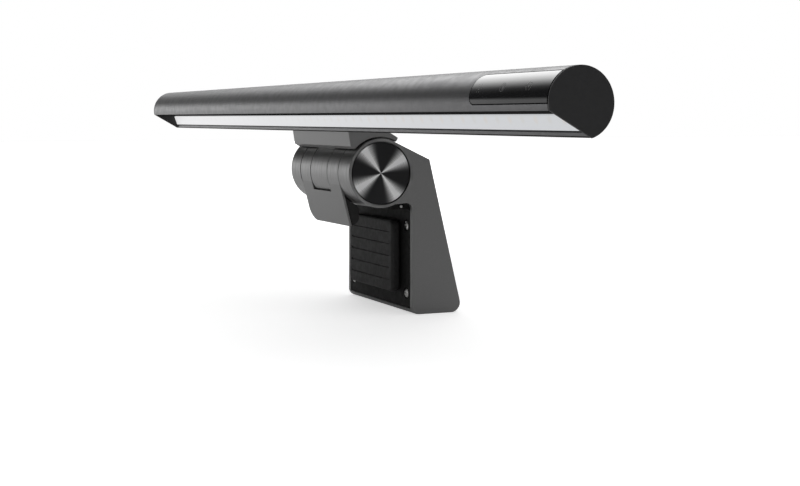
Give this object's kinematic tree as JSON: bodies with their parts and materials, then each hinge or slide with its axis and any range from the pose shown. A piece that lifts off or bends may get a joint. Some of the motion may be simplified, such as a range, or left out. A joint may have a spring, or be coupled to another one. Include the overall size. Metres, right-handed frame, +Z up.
{
  "type": "monitor light bar",
  "caption": "Long round lamp bar on a hinged clamp for a monitor's top edge, with a swinging front clip, a weighted rear body and a touch panel at one end.",
  "frame": {"origin": "middle of the seat pad's underside, which rests on the monitor's top edge", "axes": "+X along the bar to the user's right, +Y to the back of the monitor, +Z up"},
  "size_m": [0.45, 0.0666, 0.0952],
  "materials": {
    "dark_aluminium": "dark grey satin anodised",
    "grey_metal": "grey satin",
    "spun_metal": "dark spun face with bright radial reflections",
    "black_plastic": "matt black",
    "gloss_black": "gloss black",
    "white_diffuser": "translucent white",
    "black_rubber": "matt black",
    "steel": "plain bright",
    "brass": "machined",
    "green_board": "green circuit board",
    "white_board": "white circuit board",
    "black_cable": "black insulation"
  },
  "bodies": {
    "clamp": {"rear_housing": "grey_metal", "inner_cover": "black_plastic", "cover_screw_1": "steel", "cover_screw_2": "steel", "cover_screw_3": "steel", "cover_screw_4": "steel", "seat_screw_left": "steel", "seat_screw_right": "steel", "counterweight": "steel", "weight_screw_left": "steel", "weight_screw_right": "steel", "seat_pad": "black_rubber", "rear_pad": "black_rubber", "hinge_shaft": "steel", "hinge_nut": "steel", "spring_washer_1": "steel", "spring_washer_2": "steel", "friction_washer_1": "black_plastic", "friction_washer_2": "black_plastic", "friction_washer_3": "black_plastic", "friction_washer_4": "black_plastic", "hinge_cap_left": "spun_metal", "hinge_cap_right": "spun_metal"},
    "clip": {"front_clip": "grey_metal", "front_pad": "black_rubber", "clip_bush_left": "brass", "clip_bush_right": "brass", "torsion_spring_left": "steel", "torsion_spring_right": "steel"},
    "lamp": {"lamp_tube": "dark_aluminium", "end_cap_left": "black_plastic", "end_cap_right": "black_plastic", "diffuser": "white_diffuser", "led_board": "white_board", "touch_panel": "gloss_black", "touch_board": "green_board", "touch_spring_1": "steel", "touch_spring_2": "steel", "touch_spring_3": "steel", "driver_board": "green_board", "usb_socket": "steel", "touch_lead": "black_cable", "light_lead": "black_cable", "lamp_saddle": "grey_metal", "saddle_screw_left": "steel", "saddle_screw_right": "steel", "lamp_bush_left": "brass", "lamp_bush_right": "brass"}
  },
  "joints": [
    {"name": "lamp_tilt", "type": "hinge", "parent": "clamp", "child": "lamp", "pos_m": [0, -0.009, 0.0152], "axis": [1, 0, 0], "range_deg": [0, 25]},
    {"name": "clip_swing", "type": "hinge", "parent": "clamp", "child": "clip", "pos_m": [0, -0.009, 0.0152], "axis": [1, 0, 0], "range_deg": [-40, 20]}
  ]
}
